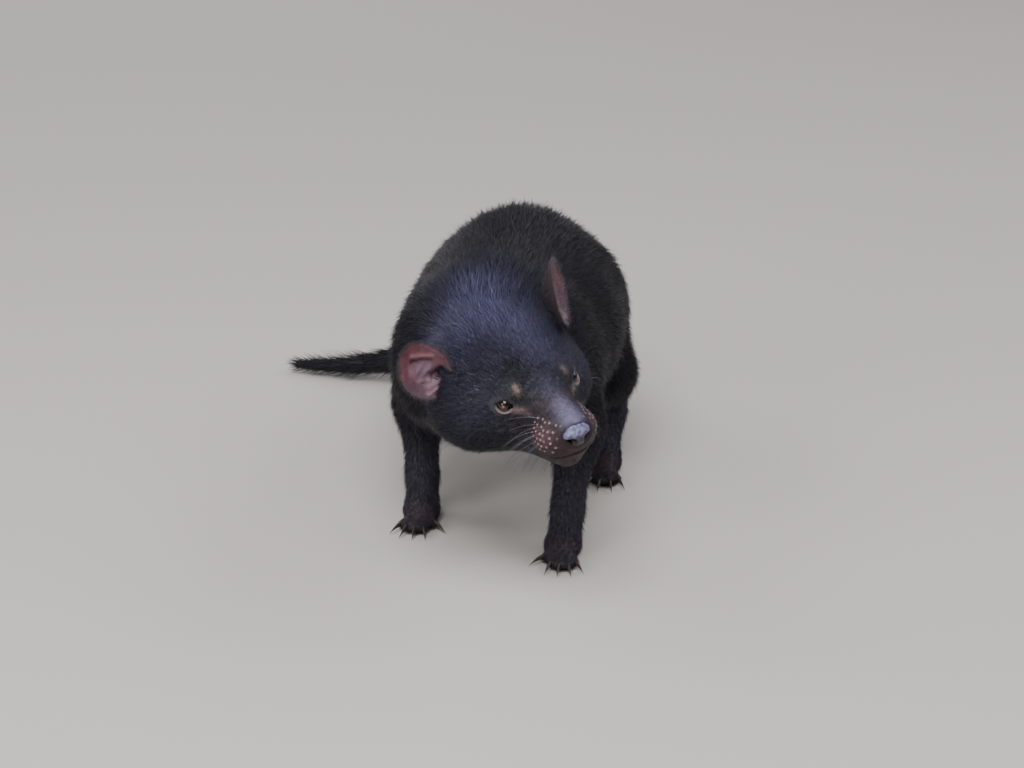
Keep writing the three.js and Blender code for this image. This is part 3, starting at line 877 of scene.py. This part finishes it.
def fold_share(place, start, end, width):
    """How much of a fold's height a place on the ear has."""
    run = Vector(end) - Vector(start)
    t = min(1, max(0, (place - Vector(start)).dot(run) / run.length_squared))
    return math.exp(-((place - Vector(start) - run * t).length / width) ** 2)


def make_ear(name, material):
    """A cup pressed from a ball, with its folds, bare inside and short-haired outside."""
    middle, rise, across, opening, outer = ear_frame(name)
    shape = bmesh.new()
    bmesh.ops.create_uvsphere(shape, u_segments=96, v_segments=72, radius=1)
    colours = []
    for vert in shape.verts:
        x, y, z = vert.co
        hollow = 1 - x * x - y * y
        rim = min(1, hollow / 0.2)
        wall = EAR_THICKNESS * (1 + 0.8 * (1 - x) * hollow)
        fold = 0
        colour = rgb(EAR_BACK)
        if z > 0:
            top = float(step(x, -0.5, 0.5))
            colour = top * rgb(EAR_FLESH) + (1 - top) * rgb(EAR_FLESH_LOW)
            for start, end, width, height, code in EAR_FOLDS:
                share = fold_share(Vector((x, y * outer)), start, end, width)
                fold += height * share * rim
                colour = colour * (1 - 0.85 * share) + 0.85 * share * rgb(code)
            # Fine ribs, with painted highlight on their crests and painted shade between them.
            ribs = math.sin(26 * (x * 0.9 + y * outer * 0.4)) * math.exp(-((x + 0.15) ** 2 + y * y) / 0.12)
            fold += 0.35 * ribs * rim
            colour = colour * rim * (1 + 0.2 * ribs) + (1 - rim) * rgb(EAR_RIM)
        width = EAR_WIDTH * (1 - EAR_TAPER * max(x, 0) ** 2)
        depth = z * wall / 2 - EAR_DEPTH * hollow + fold
        vert.co = middle + (rise * x * EAR_LENGTH / 2 + across * y * width / 2 + opening * depth) * MM
        colours.append(colour)
    bmesh.ops.recalc_face_normals(shape, faces=shape.faces)
    ear = as_object(shape, f"ear_{name}_cup")
    # The left ear's lower tone is painted shade over all its colours.
    store_colour(ear.data, "skin_colour", np.clip(np.array(colours) * EARS[name]["tone"], 0, 1))
    give_surface(ear.data, material)
    unwrap(ear)
    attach(ear, "root")
    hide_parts(f"ear_{name}")
    return ear


# Lids. Each row is mm outwards from the lid's edge, mm from the eye's middle, the share of it that follows
# the skin, and mm of lift off the skin.
LID_ROWS = [
    (-1.2, 8.0, 0, 0),
    (-0.4, 8.9, 0, 0),
    (0.0, 9.6, 0, 0),
    (0.5, 10.2, 0, 0),
    (1.2, 10.7, 0, 0),
    (2.0, 10.9, 0.25, 0.1),
    (3.0, 10.7, 0.6, 0),
    (4.2, 10.4, 0.95, -0.1),
    (5.6, 10.8, 1, 0.2),
    (7.5, 10.2, 1, -0.2),
    (9.5, 9.4, 1, -1.2),
]
LID_FARTHEST = 12.5  # mm from the eye's middle
LID_POINTS = 72
LID_OPENING = (8.8, 5.9)  # half its length and half its height
LID_CORNER = 1.4  # how much further the opening reaches at the inner corner
LID_EDGE = "#86706f"
LID_SHADE = 0.65  # how bright the lids are beside the coat round them
LID_THICKNESS = 0.5


def lid_reach(turn):
    """How far the opening reaches from its middle, in mm. Turn 0 is the outer corner and pi the inner one."""
    long, high = LID_OPENING
    low, top = 0.0, long
    for _ in range(24):
        reach = (low + top) / 2
        x = reach * math.cos(turn) / long
        y = reach * math.sin(turn) / high
        if abs(y) > (1 - 0.35 * x * x) * math.sqrt(max(0, 1 - x * x)):
            top = reach
        else:
            low = reach
    return low + LID_CORNER * math.exp(-((abs(turn) - math.pi) / 0.22) ** 2)


def make_lids(name, s, tree, material):
    """A rolled edge round the eye, with a crease outside it, that runs out under the skin."""
    middle, gaze, outer, rise = eye_frame(s)
    shape = bmesh.new()
    bmesh.ops.create_grid(shape, x_segments=LID_POINTS, y_segments=len(LID_ROWS) - 1, size=1)
    shares = []
    for vert in shape.verts:
        turn = math.pi * vert.co.x
        row = round((vert.co.y + 1) / 2 * (len(LID_ROWS) - 1))
        spread, height, share, lift = LID_ROWS[row]
        angle = math.asin(min(0.97, lid_reach(turn) / 10.4)) + spread / 10.5
        way = gaze * math.cos(angle) + (outer * math.cos(turn) + rise * math.sin(turn)) * math.sin(angle)
        hit = tree.ray_cast(middle + way * 30 * MM, -way)[0]
        on_skin = min((hit - middle).length / MM, LID_FARTHEST) if hit and share else height
        vert.co = middle + way * (height * (1 - share) + (on_skin + lift) * share) * MM
        lower = float(step(-math.sin(turn), 0.0, 0.8))
        inner = math.exp(-((abs(turn) - math.pi) / 0.5) ** 2)
        shares.append(math.exp(-((spread - 0.5) / 0.8) ** 2) * max(0.06, 0.9 * lower, 0.8 * inner))
    outwards = sum(face.normal.dot(face.calc_center_median() - middle) for face in shape.faces)
    if outwards < 0:
        bmesh.ops.reverse_faces(shape, faces=shape.faces)
    lids = as_object(shape, name)
    pale = np.array(shares)[:, None]
    surround = markings_and_painted_light(points_of(lids.data)) * LID_SHADE
    store_colour(lids.data, "skin_colour", surround * (1 - pale) + pale * rgb(LID_EDGE))
    applied(lids, "WELD", merge_threshold=0.01 * MM)
    applied(lids, "SUBSURF", levels=1, render_levels=1)
    applied(lids, "SOLIDIFY", thickness=LID_THICKNESS * MM, offset=-1)
    give_surface(lids.data, material)
    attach(lids, "root")


# Coat.
HAIR_SINK = 0.09  # share of each tuft that lies in the skin, up to half a mm
FLOOR_GAP = 0.4  # mm, below which hair is pressed flat by the floor
COVER = 4.2  # how many tufts lie over each place
MOST_DENSE = 2.6  # tufts to the square mm
LEG_THINNER = 0.38  # share of the tufts left out low on the body, where the coat is flat and black
LEG_HEIGHTS = (70, 115)  # mm off the floor, between which the coat grows denser
SOLE_HEIGHT = 1.2  # mm, below which no tuft grows
PIECE_FACES = 190000  # triangles in one piece of coat, at most
GUARD_SHARE = 0.3  # of the tufts that are long and bend
PATCH = 0.003  # each tuft's patch of the bake map
# Places on the head where the coat is thin: mm, reach in mm, and the share of the tufts left out.
BARE = [
    ((0, -60, -12), 11, 0.9),
    ((23, -44, -19), 12, 0.45),
    ((-23, -44, -19), 12, 0.45),
    ((0, -57, -33), 12, 0.85),
]
EYE_CLEAR = 2.6  # mm round the eye's opening with no tufts
CLUMP = 5.0  # mm between clumps
CLUMP_PULL = 2.2  # mm that a tuft's tip leans into its clump
WAVE = 24.0  # mm between the coat's slow waves
TUFT_CORNERS = [(-1, -0.35), (1, -0.35), (0, 0.7)]  # a tuft's section, across it and off the skin
# The coat's kinds of tuft: its rings, and its length, width and brightness beside the plan's.
KINDS = [("guard", 2, 1.25, 0.85, 0.65), ("under", 1, 0.9, 1.1, 1.15)]
# Where one piece of coat ends and the next begins, in mm.
TAIL_RIGHT_OF = 20
TAIL_BEHIND = 296
HEAD_BEFORE = 78
HEAD_WITHIN = 110
LEGS_BELOW = 92


def flow(points, spacing, count=10):
    """A smooth, seeded field of ways, in waves of the given spacing in mm. Points are in mm."""
    ways = unit(draw.normal(size=(count, 3)))
    phases = draw.uniform(0, 2 * math.pi, count)
    turns = points @ ways.T * (2 * math.pi / spacing) + phases
    return np.cos(turns) @ ways / math.sqrt(count)


def tuft_width(length):
    return 0.21 + 0.0225 * length


def bake_places(mesh):
    return values_of(mesh.uv_layers["OFBake"].data, "uv", 2)


def skin_roots(mesh, density):
    """Draws the tufts' roots on a mesh, as density gives them in tufts to the square mm. It returns their
    places, normals and places on the bake map."""
    mesh.calc_loop_triangles()
    corners = values_of(mesh.loop_triangles, "vertices", 3, np.int32)
    loops = values_of(mesh.loop_triangles, "loops", 3, np.int32)
    points, normals, uv = points_of(mesh), normals_of(mesh), bake_places(mesh)
    a, b, c = (points[corners[:, i]] for i in range(3))
    area = np.linalg.norm(np.cross(b - a, c - a), axis=1) / 2 / MM ** 2
    wanted = np.cumsum(area * density((a + b + c) / 3, unit(np.cross(b - a, c - a))))
    number = int(wanted[-1])
    chosen = np.searchsorted(wanted, (np.arange(number) + draw.uniform(size=number)) / number * wanted[-1])
    chosen = np.minimum(chosen, len(corners) - 1)
    u, v = draw.uniform(size=(2, number))
    over = u + v > 1
    u[over], v[over] = 1 - u[over], 1 - v[over]
    shares = np.stack([1 - u - v, u, v], axis=1)[:, :, None]
    return ((points[corners[chosen]] * shares).sum(1), unit((normals[corners[chosen]] * shares).sum(1)),
            (uv[loops[chosen]] * shares).sum(1))


def add_tufts(name, roots, normals, ways, lengths, widths, lifts, colours, uv, rings, material,
              pull=None):
    """One mesh of tapered three-sided tufts. Each leaves the skin steeply and bends towards its lie. Sizes
    and the pull on the tips are in mm."""
    count = len(roots)
    rise = np.clip(lifts * 1.5, 0, 0.95)[:, None]
    leave = unit(ways * np.sqrt(1 - rise ** 2) + normals * rise)
    rest = np.clip(lifts * 0.5, 0, 0.9)[:, None]
    arrive = unit(ways * np.sqrt(1 - rest ** 2) + normals * rest)
    if rings == 1:
        leave = arrive = unit(leave + arrive)
    side = unit(np.cross(leave, normals))
    lifted = np.cross(side, leave)
    span = lengths[:, None] * MM
    start = roots - normals * np.clip(HAIR_SINK * lengths, 0.12, 0.5)[:, None] * MM
    bend = np.zeros((count, 3)) if pull is None else pull * MM

    def middle(t):
        return start + span * (leave * t + (arrive - leave) * t * t / 2) + bend * t * t

    places = []
    for ring in range(rings):
        t = ring / rings
        half = widths[:, None] * MM / 2 * (1 - 0.5 * t)
        places += [middle(t) + side * x * half + lifted * y * half for x, y in TUFT_CORNERS]
    places.append(middle(1.0))
    per = 3 * rings + 1
    points = np.stack(places, axis=1).reshape(-1, 3)
    low = np.minimum(points[:, 2] / MM - FLOOR_GAP, 0)
    points[:, 2] = np.where(low < 0, FLOOR_GAP * (0.25 + 0.75 * np.exp(low / 3)) * MM, points[:, 2])
    faces = [(2, 1, 0)]
    for first in range(0, 3 * (rings - 1), 3):
        for i in range(3):
            k = (i + 1) % 3
            faces += [(first + i, first + k, first + k + 3), (first + i, first + k + 3, first + i + 3)]
    last = 3 * (rings - 1)
    faces += [(last + i, last + (i + 1) % 3, per - 1) for i in range(3)]
    indices = (np.arange(count)[:, None, None] * per + np.array(faces)[None]).reshape(-1)
    mesh = bpy.data.meshes.new(name)
    mesh.vertices.add(len(points))
    mesh.vertices.foreach_set("co", points.ravel())
    mesh.loops.add(len(indices))
    mesh.loops.foreach_set("vertex_index", indices.astype(np.int32))
    mesh.polygons.add(len(indices) // 3)
    mesh.polygons.foreach_set("loop_start", np.arange(0, len(indices), 3, dtype=np.int32))
    mesh.update(calc_edges=True)
    spread = np.array([((v % 3 - 1) * 0.5, (v // 3) / rings - 0.5) for v in range(per)]) * PATCH
    where = np.clip(uv[:, None] + spread[None], 0, 1)
    layer = mesh.uv_layers.new(name="OFBake")
    layer.data.foreach_set("uv", where.reshape(-1, 2)[indices].ravel())
    store_colour(mesh, "coat_colour", np.repeat(colours, per, axis=0))
    give_surface(mesh, material)
    piece = bpy.data.objects.new(name, mesh)
    bpy.context.scene.collection.objects.link(piece)
    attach(piece, "root")


def hair_density(points, normals):
    """Tufts to the square mm: enough to cover the skin, fewer on the bare muzzle and legs, and none in the
    eyes or on the soles."""
    _, length, _ = coat_at(points, normals)
    dense = np.minimum(COVER / (length * tuft_width(length)), MOST_DENSE)
    local = head_mm(points)
    for place, reach, gone in BARE:
        dense *= 1 - gone * np.exp(-(((local - place) / reach) ** 4).sum(1))
    for s in SIDES.values():
        middle, gaze, outer, rise = eye_frame(s)
        away = (points - np.array(middle)) / MM
        long, high = (reach + EYE_CLEAR for reach in LID_OPENING)
        opening = (away @ np.array(outer) / long) ** 2 + (away @ np.array(rise) / high) ** 2 < 1
        dense *= ~(opening & (away @ np.array(gaze) > 0))
    height = body_mm(points)[:, 2]
    return dense * (1 - LEG_THINNER * (1 - step(height, *LEG_HEIGHTS))) * (height > SOLE_HEIGHT)


def make_coat(mesh, material):
    """The whole coat: drawn tuft by tuft, then parted into head, torso, legs and tail."""
    roots, normals, uv = skin_roots(mesh, hair_density)
    ways, lengths, lifts = coat_at(roots, normals)
    number = len(roots)
    place = roots / MM
    share = np.clip(lengths / 12, 0.15, 1)[:, None]
    ways = ways + 0.16 * draw.normal(size=(number, 3)) + 0.22 * flow(place, WAVE) * share
    ways = unit(ways - normals * (ways * normals).sum(1)[:, None])
    pull = CLUMP_PULL * flow(place, CLUMP) * share
    lengths = lengths * draw.uniform(0.7, 1.15, number)
    widths = tuft_width(lengths) * draw.uniform(0.75, 1.3, number)
    lifts = lifts * draw.uniform(0.5, 1.5, number)
    colours = markings_and_painted_light(roots) * np.exp(0.38 * draw.normal(size=number))[:, None]
    local = head_mm(roots)
    body = body_mm(roots)
    tail = (body[:, 1] > TAIL_BEHIND) & (body[:, 0] < TAIL_RIGHT_OF)
    head = (local[:, 1] < HEAD_BEFORE) & (np.linalg.norm(local - HEAD_MIDDLE, axis=1) < HEAD_WITHIN)
    legs = (body[:, 2] < LEGS_BELOW) & ~tail & ~head
    torso = ~(head | legs | tail)
    guard = draw.uniform(size=number) < GUARD_SHARE
    # Each region's name, its tufts, and the way along which it is split where it is too large for one piece.
    regions = [("head", head, local[:, 1]), ("torso", torso, body[:, 1]), ("legs", legs, body[:, 1]),
               ("tail", tail, -body[:, 0])]
    for name, region, order in regions:
        for kind, rings, longer, wider, lighter in KINDS:
            own = np.flatnonzero(region & (guard if kind == "guard" else ~guard))
            own = own[np.argsort(order[own])]
            faces = 4 + 6 * (rings - 1)
            pieces = max(1, math.ceil(len(own) * faces / PIECE_FACES))
            for i, part in enumerate(np.array_split(own, pieces)):
                add_tufts(f"coat_{name}_{kind}_{i + 1}", roots[part], normals[part], ways[part],
                          lengths[part] * longer, widths[part] * wider, lifts[part],
                          colours[part] * lighter, uv[part], rings, material, pull[part])


# Fuzz on the ears, and whiskers.
def make_ear_fuzz(name, ear, material):
    """Short hair on the ear's back, a fringe along its rim and a few fine pale hairs inside."""
    middle, rise, across, opening = (np.array(vector) for vector in ear_frame(name)[:4])

    def where(points):
        away = (points - middle) / MM
        x, y = away @ rise / (EAR_LENGTH / 2), away @ across / (EAR_WIDTH / 2)
        return x, y, np.hypot(x, y)

    def density(points, normals):
        _, _, out = where(points)
        inside = step(normals @ opening, 0.0, 0.4)
        return inside * (0.3 + 1.1 * step(out, 0.72, 0.92)) + (1 - inside) * 1.4

    roots, normals, uv = skin_roots(ear.data, density)
    x, y, out = where(roots)
    number = len(roots)
    inside = step(normals @ opening, 0.0, 0.4)
    edge = step(out, 0.75, 0.95)
    outwards = unit(x[:, None] * rise + y[:, None] * across)
    ways = rise * (1.2 - edge)[:, None] + outwards * (0.4 + edge)[:, None]
    ways = ways + 0.25 * draw.normal(size=(number, 3))
    ways = unit(ways - normals * (ways * normals).sum(1)[:, None])
    lengths = (5.0 - 2.2 * inside + 0.6 * edge) * draw.uniform(0.6, 1.2, number)
    lifts = (0.25 + 0.2 * inside) * draw.uniform(0.5, 1.5, number)
    dark, grey, fair = (rgb(code) for code in ("#272024", "#5d5157", "#9a858f"))
    colours = dark * (1 - inside)[:, None] + fair * inside[:, None]
    colours = colours * (1 - 0.8 * edge)[:, None] + grey * (0.8 * edge)[:, None]
    colours = colours * np.exp(0.3 * draw.normal(size=number))[:, None]
    add_tufts(f"ear_{name}_fuzz", roots, normals, ways, lengths, tuft_width(lengths) * 0.8, lifts, colours,
              uv, 2, material)


WHISKER_WIDTH = 0.3
WHISKER_RINGS = 6
WHISKER_LIFT = 0.62  # how far it stands out, beside the way that it is planned
WHISKER_DROOP = 0.3  # share of its length that its tip hangs down
FAIR_SHARE = 0.6  # of the whiskers that may be pale


def whisker_plan(follicles):
    """Each whisker's place, way, length in mm, and whether it may be a pale one."""
    plan = []
    for s, row, i, place in follicles:
        way = head_way(s * (1.0 - 0.1 * i), 0.3 + 0.26 * i, -0.05 - 0.2 * row)
        plan.append((place, way, 5 + 8 * i + 2 * row + draw.uniform(-2, 5), i > 2))
    for s in SIDES.values():
        for k in range(3):
            brow_way = head_way(s * (0.2 + 0.3 * k), 0.4, 0.8)
            plan.append((in_head(s * (21 + 2.6 * k), -7, 19), brow_way, 13 + 4 * k, False))
            cheek_way = head_way(s * 0.9, 0.4, -0.15 - 0.1 * k)
            plan.append((in_head(s * 52, 20 + 4 * k, -16 - 4 * k), cheek_way, 26 + 2 * k, k == 1))
        for k in range(4):
            chin_way = head_way(s * 0.2 * k, -0.1 + 0.2 * k, -1)
            plan.append((in_head(s * (3 + 4 * k), -44 + 5 * k, -52), chin_way, 9 + 3 * k, False))
    return plan


def make_whiskers(skin, follicles, material):
    """Stiff tapered whiskers on the pads, brows, cheeks and chin, bent back towards the skin."""
    mesh = skin.data
    tree = tree_of(mesh)
    point_uv = np.empty((len(mesh.vertices), 2))
    point_uv[values_of(mesh.loops, "vertex_index", 1, np.int32)[:, 0]] = bake_places(mesh)
    rows = []
    for place, way, length, fair in whisker_plan(follicles):
        root, normal, face, _ = tree.find_nearest(place)
        along_skin = (way - normal * way.dot(normal)).normalized()
        out = max(0.15, way.dot(normal))
        rows.append((root, normal, along_skin, length, out, fair, point_uv[mesh.polygons[face].vertices[0]]))
    roots, normals, ways, lengths, outs, fair, uvs = (np.array(column) for column in zip(*rows))
    count = len(roots)
    pale = (fair & (draw.uniform(size=count) < FAIR_SHARE))[:, None]
    colours = np.where(pale, rgb("#8a8598"), rgb("#2a2730"))
    droop = draw.normal(size=(count, 3)) * 1.2 - np.array(UP) * (lengths * WHISKER_DROOP)[:, None]
    add_tufts("whiskers", roots, normals, ways, lengths, np.full(count, WHISKER_WIDTH), outs * WHISKER_LIFT,
              colours, uvs, WHISKER_RINGS, material, droop)


set_camera()
set_stage()
skin, flesh_nodes, follicles = make_skin()
bare_skin = skin_material()
give_surface(skin.data, bare_skin)
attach(skin, "root")
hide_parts(*flesh_nodes)
unwrap(skin)
skin_tree = tree_of(skin.data)
hair = coat_material()
ear_skin = ear_material()
wet_eye = eye_material()
for side, s in SIDES.items():
    make_ear_fuzz(side, make_ear(side, ear_skin), hair)
    make_eye(f"eye_{side}", s, wet_eye)
    make_lids(f"lids_{side}", s, skin_tree, bare_skin)
make_nose(nose_material())
make_whiskers(skin, follicles, hair)
make_coat(skin.data, hair)
horn = horn_material()
for node in [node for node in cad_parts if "claw" in node]:
    make_claw(node, horn)
